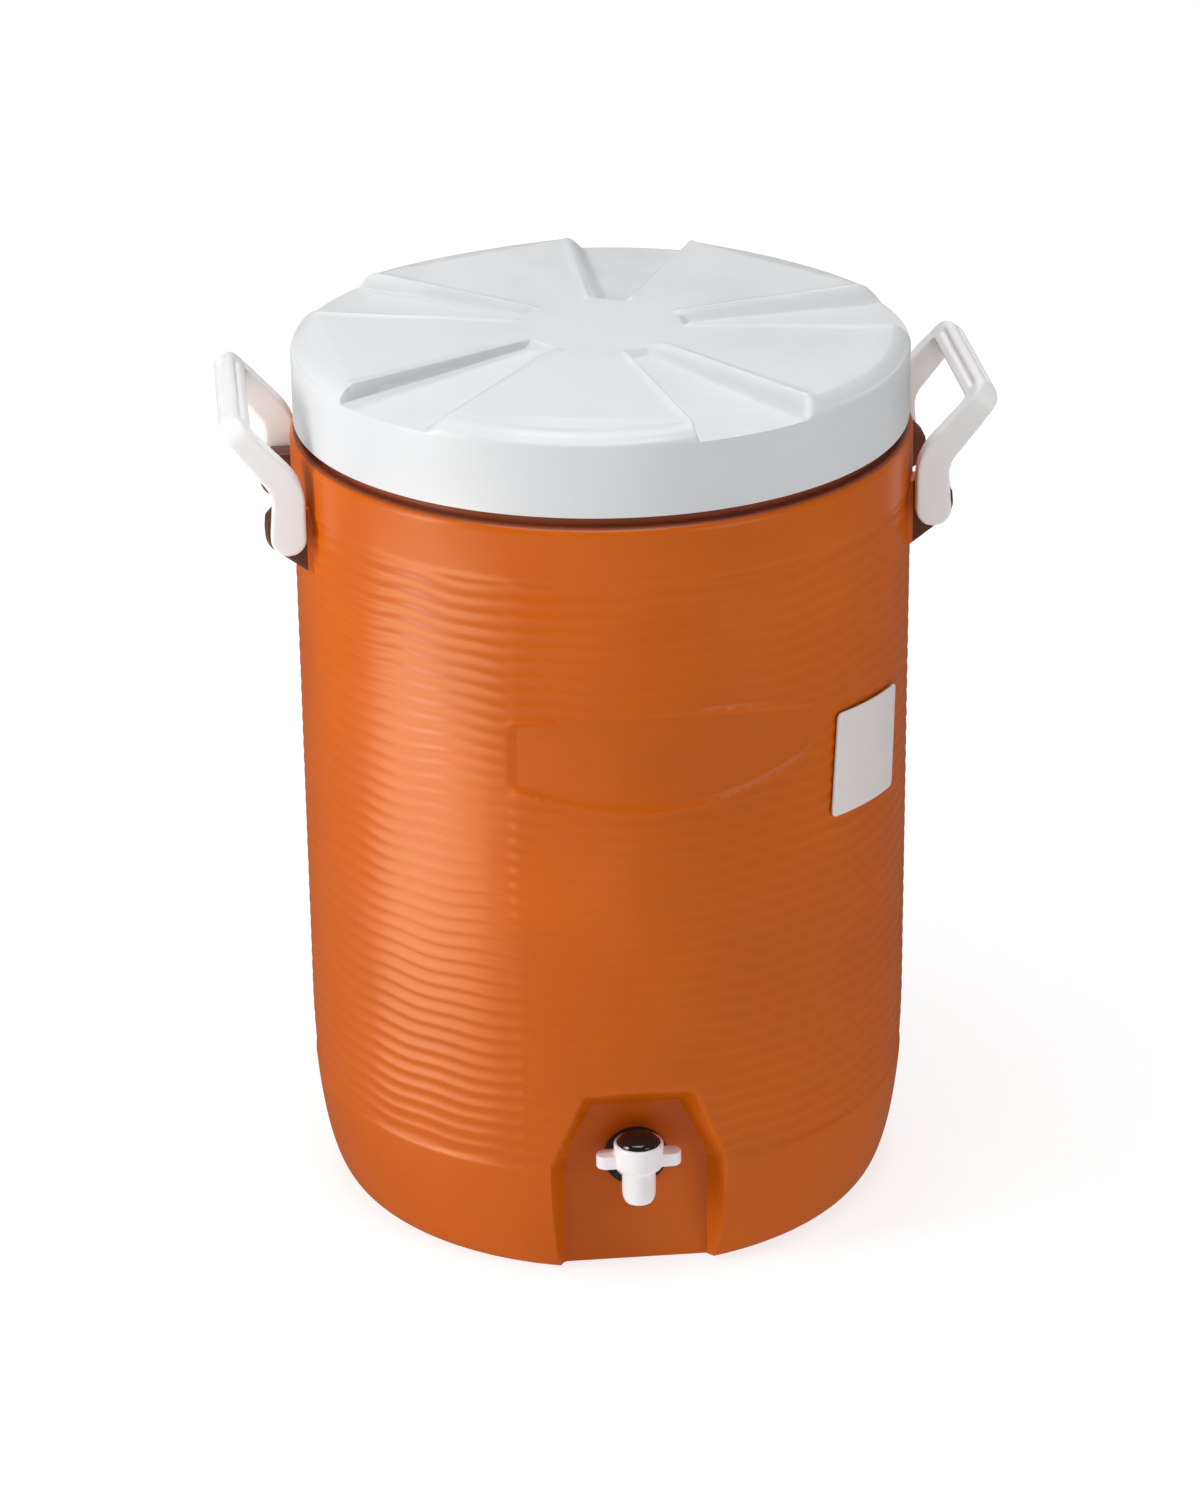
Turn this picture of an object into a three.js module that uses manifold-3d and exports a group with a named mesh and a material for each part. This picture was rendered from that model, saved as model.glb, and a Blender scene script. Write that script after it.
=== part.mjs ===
// Insulated beverage dispenser: a five gallon foam-walled jug with a press-on lid, two swinging
// bail handles and a push-button tap in a recess at the foot of its front.
// Millimetres, +Z up, origin at the centre of the base. The tap faces -Y, the handles are at +X and -X.
import * as THREE from 'three';
import { mergeVertices } from 'three/addons/utils/BufferGeometryUtils.js';
import Module from 'manifold-3d';

const wasm = await Module();
wasm.setup();

// ---------------------------------------------------------------- driving dimensions
const AROUND = 48; // facets round each large circle
const GAP = 0.3; // clearance between pieces that rest on each other
const HOLE = 0.4; // extra radius of a hole that takes the shank or the foam plug

const jug = {
  radius: 160, // outside of the side wall
  baseRadius: 142, // outside of the foot, where the wall has curved in
  curveHeight: 102, // height over which the wall curves in to the foot
  wall: 3, // thickness of the outer shell
  shoulder: 418.5, // ledge round the top, below the lid
  shoulderRound: 4,
  neckRadius: 152, // outside of the neck that the lid fits over
  footWidth: 20, // flat ring that the jug stands on
  footDepth: 3, // how far the middle of the base is set up from that ring
};

const liner = {
  radius: 127, // inside of the water tank
  wall: 2.5,
  floor: 36, // inside floor of the tank
  corner: 5, // radius of the corner between the floor and the wall
  top: 446, // rim that covers the neck of the shell
};

const lid = {
  radius: 158,
  skirtBottom: 423.5,
  skirtInner: 154.5,
  shoulder: 459, // where the skirt begins to round over
  rimTop: 468, // top of the rounded edge
  roundRadius: 148, // where the top begins
  crown: 470, // flat middle of the top
  crownRadius: 40,
  wall: 3,
  plugRadius: 125, // pan that fills the mouth of the tank
  plugBottom: 403,
  panWall: 2.5,
  gasketHeight: 2.8,
};

// Five wedge-shaped grips are sunk into the top of the lid and open at its rim.
const grip = {
  count: 5,
  first: 24, // direction of the first grip's middle, in degrees from the front towards +X
  innerRadius: 44,
  halfAngle: 12.5, // half of the wedge's angle, degrees
  innerDepth: 4,
  rimDepth: 9,
};

const recess = {
  backY: -134, // flat back wall
  surfaceY: -158, // plane where the widths below are measured
  halfBack: 37.5,
  halfSurface: 48,
  topHalfBack: 23,
  topHalfSurface: 29,
  shoulderBack: 60,
  shoulderSurface: 69,
  topBack: 93,
  topSurface: 110,
};

const handle = {
  pivotX: 164,
  pivotZ: 381.5,
  bendX: 163,
  bendZ: 407.8,
  gripX: 189.4,
  gripZ: 438.9,
  halfWidths: [9, 8, 6.5], // half of the leg's width at the pivot, the bend and the grip
  outer: 57, // half of the handle's length along Y
  legThickness: 9,
  gripHalf: 6.5,
  gripCorner: 4.5,
  trunnionRadius: 5,
  trunnionLength: 10,
};

const lug = {
  radius: 11.5,
  outer: 47.6, // outer face, just inside the leg
  thickness: 14,
  holeRadius: 5.4,
  holeDepth: 11,
  rootX: 148, // inner edge, inside the wall
  arcFrom: -62, // ends of the lug's rounded outer edge, degrees
  arcTo: 3,
  gussetX: 153, // foot of the slope under the lug
  gussetZ: 359,
  cornerX: 175, // top of the lug's outer edge
  cornerZ: 388,
  topX: 169,
  topZ: 394.5,
};

const tap = {
  y: -150, // axis of the barrel and the spout
  shankZ: 62, // axis of the shank through the wall
  headRadius: 12.9,
  headBottom: 64.5,
  headTop: 78,
  spoutRadius: 8.75,
  spoutBottom: 43,
  spoutBore: 7,
  chamberBore: 7.5,
  seatBottom: 54,
  seatTop: 56.5,
  seatBore: 5,
  cupBore: 11.1,
  shelf: 65.7, // bottom of the cup that takes the bonnet
  wingHalf: 22,
  wingDepth: 10,
  wingBottom: 65,
  wingTop: 72,
  shankRadius: 9,
  shankBore: 5.5,
  shankEnd: -108,
  flangeRadius: 12,
  flangeFront: -140,
  gasketRadius: 16.5,
  gasketThickness: 2.7,
};

const button = {
  radius: 10.6,
  dome: 4.2, // height of its rounded top
  bottom: 76.8,
  top: 82,
  pad: 77.6, // underside, where the spring bears
  stemRadius: 1.6,
};

const label = {
  direction: 51, // degrees from the front towards +X
  width: 60,
  height: 57,
  centreZ: 269,
  thickness: 1.2,
  steps: 8,
};

const plug = { y: 70, radius: 9, headRadius: 11.5, length: 9 };

const washer = { outer: 16, thickness: 2.5 };
const nut = { outer: 17, thickness: 8 };
const port = { boss: 20, foamHole: 22 }; // round the tap's shank, in the tank and in the foam

const colours = {
  orange: 0xc85c12,
  white: 0xf0f0ee,
  liner: 0xe9e9e4,
  foam: 0xe8d9a8,
  black: 0x151515,
  rubber: 0x222222,
  steel: 0xb8bcc0,
};

// ---------------------------------------------------------------- geometry helpers
const radians = (degrees) => THREE.MathUtils.degToRad(degrees);

// Closed manifold solid from any closed three.js geometry, with its faces turned outwards.
function solid(source) {
  const bare = source.clone();
  bare.deleteAttribute('normal');
  bare.deleteAttribute('uv');
  const merged = mergeVertices(bare, 1e-3);
  const position = merged.attributes.position;
  const triangles = [];
  let volume = 0;
  const [a, b, c] = [new THREE.Vector3(), new THREE.Vector3(), new THREE.Vector3()];
  for (let i = 0; i < merged.index.count; i += 3) {
    const corner = [0, 1, 2].map((k) => merged.index.getX(i + k));
    if (new Set(corner).size < 3) continue;
    a.fromBufferAttribute(position, corner[0]);
    b.fromBufferAttribute(position, corner[1]);
    c.fromBufferAttribute(position, corner[2]);
    volume += a.dot(b.cross(c));
    triangles.push(corner);
  }
  const turned = volume < 0 ? triangles.map(([p, q, r]) => [p, r, q]) : triangles;
  return new wasm.Manifold(new wasm.Mesh({
    numProp: 3,
    vertProperties: new Float32Array(position.array),
    triVerts: new Uint32Array(turned.flat()),
  }));
}

function join(...solids) {
  return solids.reduce((whole, next) => whole.add(next));
}

function cut(whole, ...tools) {
  return tools.reduce((left, tool) => left.subtract(tool), whole);
}

// Solid of revolution about Z from [radius, z] points.
function turned(points, segments = AROUND) {
  const closed = [...points];
  const [first, last] = [points[0], points[points.length - 1]];
  if (first[0] > 0 || last[0] > 0) closed.push(first);
  const outline = closed.map(([r, z]) => new THREE.Vector2(r, z));
  return solid(new THREE.LatheGeometry(outline, segments).rotateX(Math.PI / 2));
}

// Upright cylinder or cone at (x, y) from z0 to z1.
function upright(x, y, z0, z1, radius, topRadius = radius, segments = 24) {
  const geometry = new THREE.CylinderGeometry(topRadius, radius, z1 - z0, segments);
  return solid(geometry.rotateX(Math.PI / 2).translate(x, y, (z0 + z1) / 2));
}

// Cylinder lying along Y at (x, z) from y0 to y1.
function lying(x, z, y0, y1, radius, segments = 24) {
  const geometry = new THREE.CylinderGeometry(radius, radius, y1 - y0, segments);
  return solid(geometry.translate(x, (y0 + y1) / 2, z));
}

// Outline in the XZ plane pushed along Y from y0 to y1.
function slab(shape, y0, y1, curveSegments = 8) {
  const options = { depth: y1 - y0, bevelEnabled: false, curveSegments };
  return solid(new THREE.ExtrudeGeometry(shape, options).rotateX(Math.PI / 2).translate(0, y1, 0));
}

// Convex solid between two rings of points that have the same count.
function loft(ringA, ringB) {
  const n = ringA.length;
  const index = [];
  for (let i = 0; i < n; i += 1) {
    const j = (i + 1) % n;
    index.push(i, j, n + j, i, n + j, n + i);
    if (i > 0 && i < n - 1) {
      index.push(0, i + 1, i);
      index.push(n, n + i, n + i + 1);
    }
  }
  const geometry = new THREE.BufferGeometry();
  geometry.setAttribute('position', new THREE.Float32BufferAttribute([...ringA, ...ringB].flat(), 3));
  geometry.setIndex(index);
  return solid(geometry);
}

const group = new THREE.Group();

function add(name, shape, colour, roughness = 0.5, metalness = 0) {
  const data = shape.getMesh();
  const geometry = new THREE.BufferGeometry();
  geometry.setAttribute('position', new THREE.BufferAttribute(data.vertProperties, 3));
  geometry.setIndex(new THREE.BufferAttribute(data.triVerts, 1));
  geometry.computeVertexNormals();
  const material = new THREE.MeshStandardMaterial({ color: colour, roughness, metalness });
  const mesh = new THREE.Mesh(geometry, material);
  mesh.name = name;
  group.add(mesh);
  return mesh;
}

// ---------------------------------------------------------------- jug: shell, foam and liner
// Lower part of the jug's outside, drawn in by inset: a quarter-ellipse from the foot to the side wall.
function jugProfile(inset) {
  const steps = 7;
  const points = [];
  for (let i = 0; i <= steps; i += 1) {
    const t = (i / steps) * (Math.PI / 2);
    const r = jug.baseRadius + (jug.radius - jug.baseRadius) * Math.sin(t);
    points.push([r - inset, inset + jug.curveHeight * (1 - Math.cos(t))]);
  }
  return points;
}

// Space of the tap recess, open at the front and through the foot, grown by a wall thickness.
function recessSpace(grow = 0) {
  const reach = 1.75; // carries the section on past the side wall
  const ring = (t) => {
    const y = recess.backY + grow + (recess.surfaceY - recess.backY) * t - grow * t;
    const at = (back, front) => back + (front - back) * t + grow;
    const half = at(recess.halfBack, recess.halfSurface);
    const topHalf = at(recess.topHalfBack, recess.topHalfSurface);
    const shoulder = at(recess.shoulderBack, recess.shoulderSurface);
    const top = at(recess.topBack, recess.topSurface);
    const foot = -10;
    return [
      [-half, y, foot], [half, y, foot], [half, y, shoulder],
      [topHalf, y, top], [-topHalf, y, top], [-half, y, shoulder],
    ];
  };
  return loft(ring(0), ring(reach));
}

// Lug that takes one trunnion of a handle, joined to the side wall.
function handleLug(side, front) {
  const shape = new THREE.Shape();
  const [from, to] = [lug.arcFrom, lug.arcTo].map(radians);
  shape.moveTo(lug.rootX, lug.gussetZ);
  shape.lineTo(lug.gussetX, lug.gussetZ);
  shape.absarc(handle.pivotX, handle.pivotZ, lug.radius, from, to, false);
  shape.lineTo(lug.cornerX, lug.cornerZ);
  shape.lineTo(lug.topX, lug.topZ);
  shape.lineTo(lug.rootX, lug.topZ);
  const inner = lug.outer - lug.thickness;
  const y0 = front ? -lug.outer : inner;
  const y1 = front ? -inner : lug.outer;
  const plate = slab(shape, y0, y1, 10);
  return side > 0 ? plate : plate.rotate([0, 0, 180]);
}

function lugHole(side, front) {
  const x = side * handle.pivotX;
  const end = lug.outer - lug.holeDepth;
  const y0 = front ? -lug.outer - 1 : end;
  const y1 = front ? -end : lug.outer + 1;
  return lying(x, handle.pivotZ, y0, y1, lug.holeRadius, 24);
}

// Neck and shoulder that carry the wall up from the side to the rim, drawn in by inset.
function neckProfile(inset, top) {
  const { radius, shoulder, shoulderRound: round, neckRadius } = jug;
  return [
    [radius - inset, shoulder - round - inset],
    [radius - round * 0.3 - inset, shoulder - round * 0.3 - inset],
    [radius - round - inset, shoulder - inset],
    [neckRadius - inset, shoulder - inset],
    [neckRadius - inset, top],
  ];
}

const shellTop = liner.top - liner.wall - GAP;

function outerShell() {
  const skin = turned([
    [0, jug.footDepth],
    [jug.baseRadius - jug.footWidth - jug.footDepth, jug.footDepth],
    [jug.baseRadius - jug.footWidth, 0],
    ...jugProfile(0),
    ...neckProfile(0, shellTop),
    [0, shellTop],
  ]);
  const floor = jug.footDepth + jug.wall;
  const inside = turned([
    [0, floor],
    ...jugProfile(jug.wall).filter(([, z]) => z > floor),
    ...neckProfile(jug.wall, shellTop + 1),
    [0, shellTop + 1],
  ]);
  const lugs = [];
  const holes = [];
  for (const side of [1, -1]) {
    for (const front of [true, false]) {
      lugs.push(handleLug(side, front));
      holes.push(lugHole(side, front));
    }
  }
  const space = cut(inside, recessSpace(jug.wall));
  const wallBack = recess.backY + jug.wall;
  const shankHole = lying(0, tap.shankZ, recess.backY - 2, wallBack + 2, tap.shankRadius + HOLE);
  const plugHole = upright(0, plug.y, -1, 10, plug.radius + HOLE);
  return cut(join(cut(skin, recessSpace()), ...lugs), space, shankHole, plugHole, ...holes);
}

const linerFace = -liner.radius + 2.5; // flat face inside the tank, round the tap's shank

// Outside of the tank from the middle of its floor to its wall, grown outwards.
function linerOutside(grow) {
  const r = liner.radius + liner.wall + grow;
  const bottom = liner.floor - liner.wall - grow;
  const corner = liner.corner + liner.wall + grow;
  const points = [[0, bottom]];
  const steps = 5;
  for (let i = 0; i <= steps; i += 1) {
    const t = (i / steps) * (Math.PI / 2);
    points.push([r - corner + corner * Math.sin(t), bottom + corner * (1 - Math.cos(t))]);
  }
  return points;
}

function innerLiner() {
  const cup = turned([
    ...linerOutside(0),
    [liner.radius + liner.wall, liner.top - liner.wall],
    [jug.neckRadius, liner.top - liner.wall],
    [jug.neckRadius, liner.top],
    [liner.radius, liner.top],
    ...linerOutside(-liner.wall).reverse(),
  ]);
  // A flat boss inside the wall gives the tap's inner washer a face to seal on.
  const boss = lying(0, tap.shankZ, -liner.radius - 1, linerFace, port.boss);
  const hole = lying(0, tap.shankZ, -liner.radius - 10, linerFace + 1, tap.shankRadius + HOLE);
  return cut(join(cup, boss), hole);
}

function foamInsulation() {
  const inset = jug.wall + GAP;
  const floor = jug.footDepth + inset;
  const whole = turned([
    [0, floor],
    ...jugProfile(inset).filter(([, z]) => z > floor),
    ...neckProfile(inset, shellTop),
    [0, shellTop],
  ]);
  const tank = turned([
    ...linerOutside(GAP),
    [liner.radius + liner.wall + GAP, liner.top],
    [0, liner.top],
  ]);
  const shankSpace = lying(0, tap.shankZ, recess.backY - 6, 0, port.foamHole);
  const plugSpace = upright(0, plug.y, floor - 2, floor + plug.length, plug.radius + 1);
  return cut(whole, tank, recessSpace(inset + GAP), shankSpace, plugSpace);
}

// Bung that closes the hole through which the foam is poured.
function foamPlug() {
  const face = jug.footDepth - GAP;
  return join(
    upright(0, plug.y, face - 1.8, face, plug.headRadius),
    upright(0, plug.y, face - 1, face + plug.length, plug.radius, plug.radius - 0.8),
  );
}

// Blank plate on the side wall: an arc of the wall's own curve.
function labelPlate() {
  const inner = jug.radius + GAP;
  const outer = inner + label.thickness;
  const sweep = label.width / jug.radius;
  const middle = radians(label.direction - 90);
  const shape = new THREE.Shape();
  shape.absarc(0, 0, outer, middle - sweep / 2, middle + sweep / 2, false);
  shape.absarc(0, 0, inner, middle + sweep / 2, middle - sweep / 2, true);
  const options = { depth: label.height, bevelEnabled: false, curveSegments: label.steps };
  const geometry = new THREE.ExtrudeGeometry(shape, options);
  return solid(geometry.translate(0, 0, label.centreZ - label.height / 2));
}

// ---------------------------------------------------------------- lid
// Space of one grip: a wedge whose floor falls from the middle of the lid to its rim.
function gripSpace(number, grow = 0) {
  const middle = radians(grip.first + (360 / grip.count) * number);
  const corner = (radius, half, z) => {
    const side = half + THREE.MathUtils.radToDeg(grow / radius) * Math.sign(half);
    const angle = middle + radians(side);
    return [radius * Math.sin(angle), -radius * Math.cos(angle), z];
  };
  const reach = lid.radius + 6;
  const inner = grip.innerRadius - grow;
  const above = lid.crown + 5;
  const ring = (half) => [
    corner(inner, half, above),
    corner(reach, half, above),
    corner(reach, half, lid.rimTop - grip.rimDepth - grow),
    corner(inner, half, lid.crown - grip.innerDepth - grow),
  ];
  const slices = [-1, -0.5, 0, 0.5].map((t) => (
    loft(ring(t * grip.halfAngle), ring((t + 0.5) * grip.halfAngle))
  ));
  return join(...slices);
}

function gripSpaces(grow) {
  return Array.from({ length: grip.count }, (_, i) => gripSpace(i, grow));
}

function lidOutside(inset) {
  const r = lid.radius - inset;
  const steps = 4;
  const rise = lid.rimTop - lid.shoulder;
  const run = lid.radius - lid.roundRadius;
  const round = [];
  for (let i = 0; i <= steps; i += 1) {
    const t = (i / steps) * (Math.PI / 2);
    round.push([r - run * (1 - Math.cos(t)), lid.shoulder - inset + rise * Math.sin(t)]);
  }
  return [...round, [lid.crownRadius, lid.crown - inset], [0, lid.crown - inset]];
}

function lidCover() {
  const outside = turned([[0, lid.skirtBottom], [lid.radius, lid.skirtBottom], ...lidOutside(0)]);
  const shallow = lid.skirtInner - (lid.radius - lid.wall);
  const inside = turned([
    [0, lid.skirtBottom - 1],
    [lid.skirtInner, lid.skirtBottom - 1],
    ...lidOutside(lid.wall).map(([r, z], i) => [i === 0 ? r + shallow : r, z]),
  ]);
  return cut(cut(outside, ...gripSpaces(0)), cut(inside, ...gripSpaces(lid.wall)));
}

const panFlange = liner.top + lid.gasketHeight + 2 * GAP;

function lidPan() {
  const inner = lid.plugRadius - lid.panWall;
  const outer = jug.neckRadius;
  return turned([
    [0, lid.plugBottom],
    [lid.plugRadius - 4, lid.plugBottom],
    [lid.plugRadius, lid.plugBottom + 4],
    [lid.plugRadius, panFlange],
    [outer, panFlange],
    [outer, panFlange + lid.panWall],
    [inner, panFlange + lid.panWall],
    [inner, lid.plugBottom + lid.panWall],
    [0, lid.plugBottom + lid.panWall],
  ]);
}

function lidFoam() {
  const inset = lid.wall + GAP;
  const bottom = lid.plugBottom + lid.panWall + GAP;
  const flange = panFlange + lid.panWall + GAP;
  const whole = turned([
    [0, bottom],
    [lid.plugRadius - lid.panWall - GAP, bottom],
    [lid.plugRadius - lid.panWall - GAP, flange],
    [jug.neckRadius, flange],
    ...lidOutside(inset).slice(1),
  ]);
  return cut(whole, ...gripSpaces(inset));
}

function lidGasket() {
  const bottom = liner.top + GAP;
  const top = bottom + lid.gasketHeight;
  const [inner, outer] = [liner.radius + 5, jug.neckRadius - 5];
  return turned([[inner, bottom], [outer, bottom], [outer, top], [inner, top]]);
}

// ---------------------------------------------------------------- handles
// Outline of a bar along a bent centre line, with a round start. halves holds half its width at each point.
function barOutline(points, halves) {
  const edge = (sign) => points.map(([x, z], i) => {
    const before = new THREE.Vector2(...(points[i - 1] ?? points[i]));
    const here = new THREE.Vector2(x, z);
    const after = new THREE.Vector2(...(points[i + 1] ?? points[i]));
    const into = here.clone().sub(before).normalize();
    const away = after.clone().sub(here).normalize();
    const along = into.clone().add(away).normalize();
    const spread = halves[i] / along.dot(i === 0 ? away : into);
    return [x + sign * along.y * spread, z - sign * along.x * spread];
  });
  const right = edge(1);
  const left = edge(-1);
  const shape = new THREE.Shape();
  shape.moveTo(...right[right.length - 1]);
  for (let i = right.length - 2; i >= 0; i -= 1) shape.lineTo(...right[i]);
  const [px, pz] = points[0];
  const from = Math.atan2(right[0][1] - pz, right[0][0] - px);
  shape.absarc(px, pz, halves[0], from, from - Math.PI, true);
  for (let i = 1; i < left.length; i += 1) shape.lineTo(...left[i]);
  shape.closePath();
  return shape;
}

// Square bar with rounded corners, standing on one corner as the legs meet it.
function gripOutline() {
  const shape = new THREE.Shape();
  const [half, corner] = [handle.gripHalf, handle.gripCorner];
  const turn = Math.atan2(handle.gripZ - handle.bendZ, handle.gripX - handle.bendX);
  for (let i = 0; i < 4; i += 1) {
    const side = turn + (i * Math.PI) / 2;
    const reach = (half - corner) * Math.SQRT2;
    const x = handle.gripX + reach * Math.cos(side + Math.PI / 4);
    const z = handle.gripZ + reach * Math.sin(side + Math.PI / 4);
    shape.absarc(x, z, corner, side, side + Math.PI / 2, false);
  }
  return shape;
}

function bailHandle() {
  const centreLine = [
    [handle.pivotX, handle.pivotZ],
    [handle.bendX, handle.bendZ],
    [handle.gripX, handle.gripZ],
  ];
  const outline = barOutline(centreLine, handle.halfWidths);
  const inner = handle.outer - handle.legThickness;
  const parts = [slab(gripOutline(), -handle.outer, handle.outer, 5)];
  for (const end of [-1, 1]) {
    const leg = [end * inner, end * handle.outer].sort((p, q) => p - q);
    const pin = [end * (inner - handle.trunnionLength), end * (inner + 1)].sort((p, q) => p - q);
    parts.push(slab(outline, ...leg, 12));
    parts.push(lying(handle.pivotX, handle.pivotZ, ...pin, handle.trunnionRadius, 24));
  }
  return join(...parts);
}

// ---------------------------------------------------------------- tap
function tapBody() {
  const wing = new THREE.Shape();
  const round = tap.wingDepth / 2;
  const straight = tap.wingHalf - round;
  wing.absarc(straight, tap.y, round, -Math.PI / 2, Math.PI / 2, false);
  wing.absarc(-straight, tap.y, round, Math.PI / 2, 1.5 * Math.PI, false);
  const options = { depth: tap.wingTop - tap.wingBottom, bevelEnabled: false, curveSegments: 8 };
  const wings = solid(new THREE.ExtrudeGeometry(wing, options).translate(0, 0, tap.wingBottom));
  const flangeBack = recess.backY - tap.gasketThickness - 2 * GAP;
  const outside = join(
    upright(0, tap.y, tap.headBottom, tap.headTop, tap.headRadius),
    upright(0, tap.y, tap.headBottom - 4, tap.headBottom, tap.spoutRadius, tap.headRadius),
    upright(0, tap.y, tap.spoutBottom + 3, tap.headBottom, tap.spoutRadius),
    upright(0, tap.y, tap.spoutBottom, tap.spoutBottom + 3, tap.spoutBore + 0.9, tap.spoutRadius),
    wings,
    lying(0, tap.shankZ, tap.flangeFront, flangeBack, tap.flangeRadius),
    lying(0, tap.shankZ, tap.y, tap.shankEnd, tap.shankRadius),
  );
  return cut(
    outside,
    upright(0, tap.y, tap.spoutBottom - 1, tap.seatBottom, tap.spoutBore),
    upright(0, tap.y, tap.seatBottom - 1, tap.seatTop + 1, tap.seatBore),
    upright(0, tap.y, tap.seatTop, tap.shelf + 1, tap.chamberBore),
    upright(0, tap.y, tap.shelf, tap.headTop + 1, tap.cupBore),
    lying(0, tap.shankZ, tap.y, tap.shankEnd + 1, tap.shankBore),
  );
}

// Ring with its axis along Y through the shank.
function shankRing(y0, y1, outer, inner, segments = 24) {
  return cut(
    lying(0, tap.shankZ, y0, y1, outer, segments),
    lying(0, tap.shankZ, y0 - 1, y1 + 1, inner),
  );
}

const bonnet = { bottom: tap.shelf + GAP, top: 72, floor: 67.5, well: 6.8, guide: 2.1 };

function tapBonnet() {
  return cut(
    upright(0, tap.y, bonnet.bottom, bonnet.top, tap.cupBore - GAP),
    upright(0, tap.y, bonnet.floor, bonnet.top + 1, bonnet.well),
    upright(0, tap.y, bonnet.bottom - 1, bonnet.floor + 1, bonnet.guide, undefined, 20),
  );
}

function pushButton() {
  const centre = new THREE.Vector3(0, tap.y, 0);
  const steps = 4;
  const dome = [];
  for (let i = 0; i <= steps; i += 1) {
    const t = (i / steps) * (Math.PI / 2);
    dome.push([button.radius * Math.cos(t), button.top - button.dome * (1 - Math.sin(t))]);
  }
  dome[steps][0] = 0;
  const cap = turned([
    [0, button.pad],
    [button.radius - 2, button.pad],
    [button.radius - 2, button.bottom],
    [button.radius, button.bottom],
    ...dome,
  ], 24).translate(centre.toArray());
  const socket = upright(0, tap.y, button.pad - 1, button.pad + 2.4, button.stemRadius + GAP, undefined, 20);
  return cut(cap, socket);
}

function valveStem() {
  return upright(0, tap.y, tap.seatBottom - 3, button.pad + 2, button.stemRadius, undefined, 16);
}

function valveSeal() {
  const top = tap.seatBottom - GAP;
  const disc = upright(0, tap.y, top - 4.5, top, tap.spoutBore - 1.6, tap.spoutBore - 0.9, 24);
  return cut(disc, upright(0, tap.y, top - 3, top + 1, button.stemRadius + GAP, undefined, 16));
}

// Return spring between the floor of the bonnet and the button.
function returnSpring() {
  const [wire, mean, turns, perTurn] = [0.45, 5, 4, 10];
  const low = bonnet.floor + GAP + wire;
  const high = button.pad - GAP - wire;
  const points = [];
  for (let i = 0; i <= turns * perTurn; i += 1) {
    const t = i / perTurn;
    const angle = 2 * Math.PI * t;
    points.push(new THREE.Vector3(
      mean * Math.cos(angle),
      tap.y + mean * Math.sin(angle),
      low + ((high - low) * t) / turns,
    ));
  }
  const section = new THREE.Shape();
  section.absarc(0, 0, wire, 0, 2 * Math.PI, false);
  const path = new THREE.CatmullRomCurve3(points);
  const options = { extrudePath: path, steps: turns * perTurn, bevelEnabled: false, curveSegments: 3 };
  return solid(new THREE.ExtrudeGeometry(section, options));
}

// ---------------------------------------------------------------- assembly
add('outer_shell', outerShell(), colours.orange, 0.45);
add('foam_insulation', foamInsulation(), colours.foam, 0.95);
add('inner_liner', innerLiner(), colours.liner, 0.4);
add('foam_plug', foamPlug(), colours.orange, 0.5);
add('label_plate', labelPlate(), colours.white, 0.4);

add('lid_cover', lidCover(), colours.white, 0.4);
add('lid_foam', lidFoam(), colours.foam, 0.95);
add('lid_pan', lidPan(), colours.white, 0.4);
add('lid_gasket', lidGasket(), colours.rubber, 0.8);

add('handle_right', bailHandle(), colours.white, 0.4);
add('handle_left', bailHandle(), colours.white, 0.4).rotation.z = Math.PI;

const outerGasketBack = recess.backY - GAP;
const washerBack = linerFace + GAP + washer.thickness;
add('tap_body', tapBody(), colours.white, 0.35);
add('tap_gasket', shankRing(outerGasketBack - tap.gasketThickness, outerGasketBack,
  tap.gasketRadius, tap.shankRadius + HOLE), colours.rubber, 0.8);
add('tap_washer', shankRing(linerFace + GAP, washerBack, washer.outer, tap.shankRadius + HOLE),
  colours.rubber, 0.8);
add('tap_nut', shankRing(washerBack + GAP, washerBack + GAP + nut.thickness, nut.outer,
  tap.shankRadius + HOLE, 6), colours.white, 0.4);
add('tap_bonnet', tapBonnet(), colours.white, 0.4);
add('push_button', pushButton(), colours.black, 0.25);
add('valve_stem', valveStem(), colours.white, 0.4);
add('valve_seal', valveSeal(), colours.rubber, 0.7);
add('return_spring', returnSpring(), colours.steel, 0.3, 1);

export default group;
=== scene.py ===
import math

import bmesh
import bpy
import numpy as np
from mathutils import Matrix, Vector


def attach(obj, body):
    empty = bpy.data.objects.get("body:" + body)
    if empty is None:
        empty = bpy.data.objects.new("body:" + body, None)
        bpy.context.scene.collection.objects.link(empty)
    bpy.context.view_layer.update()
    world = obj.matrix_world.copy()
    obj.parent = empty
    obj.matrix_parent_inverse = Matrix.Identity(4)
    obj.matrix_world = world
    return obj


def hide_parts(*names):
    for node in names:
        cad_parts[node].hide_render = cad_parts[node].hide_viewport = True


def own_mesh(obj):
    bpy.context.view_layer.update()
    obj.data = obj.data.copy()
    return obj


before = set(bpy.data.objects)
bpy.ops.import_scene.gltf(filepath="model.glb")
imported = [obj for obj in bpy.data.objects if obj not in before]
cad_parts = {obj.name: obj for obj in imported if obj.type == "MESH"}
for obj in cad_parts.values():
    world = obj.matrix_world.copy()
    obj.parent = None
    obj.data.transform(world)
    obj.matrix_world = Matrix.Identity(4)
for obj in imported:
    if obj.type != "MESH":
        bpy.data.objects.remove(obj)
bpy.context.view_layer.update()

MM = 0.001

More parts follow.
